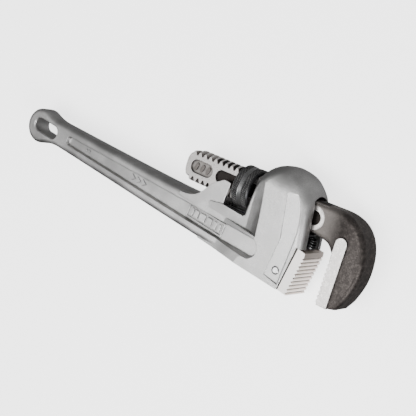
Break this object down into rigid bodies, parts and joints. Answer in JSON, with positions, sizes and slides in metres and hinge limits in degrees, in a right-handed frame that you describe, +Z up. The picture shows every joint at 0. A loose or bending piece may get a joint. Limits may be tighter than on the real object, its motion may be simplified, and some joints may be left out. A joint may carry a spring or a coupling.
{
  "type": "pipe wrench",
  "caption": "Straight pipe wrench: a light alloy handle with a toothed heel jaw, and a threaded hook jaw that slides as its knurled nut is turned and rocks on springs.",
  "frame": {"origin": "bottom centre of the whole wrench's box as it lies on its side, with the jaw as drawn", "axes": "+X along the handle towards the head, +Y from the handle's straight spine towards the top of the housing, +Z up, across the wrench's thickness"},
  "size_m": [0.3084, 0.08, 0.031],
  "materials": {
    "cast_aluminium": "satin, lightly blasted casting",
    "ground_steel": "ground, with dark tooth gullets",
    "polished_steel": "polished pin ends",
    "forged_steel": "dark scale of a hot forging, ground on the flats and teeth",
    "black_steel": "black oxide, knurled",
    "spring_steel": "oil-blackened spring steel"
  },
  "bodies": {
    "handle": {"handle": "cast_aluminium", "heel_jaw": "ground_steel", "heel_jaw_pin": "polished_steel", "coil_spring": "spring_steel"},
    "spring": {"flat_spring": "spring_steel", "spring_rivet": "spring_steel"},
    "nut": {"adjusting_nut": "black_steel"},
    "hook": {"hook_jaw": "forged_steel"}
  },
  "joints": [
    {"name": "jaw_rock", "type": "hinge", "parent": "handle", "child": "spring", "pos_m": [0.05515, 0.01201, 0.0155], "axis": [0, 0, 1], "range_deg": [-3.5, 0], "stiffness_Nm_per_rad": 2, "springref_deg": 5.73, "deforming": ["coil_spring"]},
    {"name": "nut_spin", "type": "hinge", "parent": "spring", "child": "nut", "pos_m": [0.05515, 0.01201, 0.0155], "axis": [0.9954, 0.0958, 0], "range_deg": [-3288, 1058]},
    {"name": "jaw_slide", "type": "slide", "parent": "spring", "child": "hook", "axis": [0.9954, 0.0958, 0], "range_m": [-0.0135, 0.042]}
  ],
  "couplings": [
    {"joint": "nut_spin", "follows": "jaw_slide", "rad_per_m": -1365.9}
  ]
}
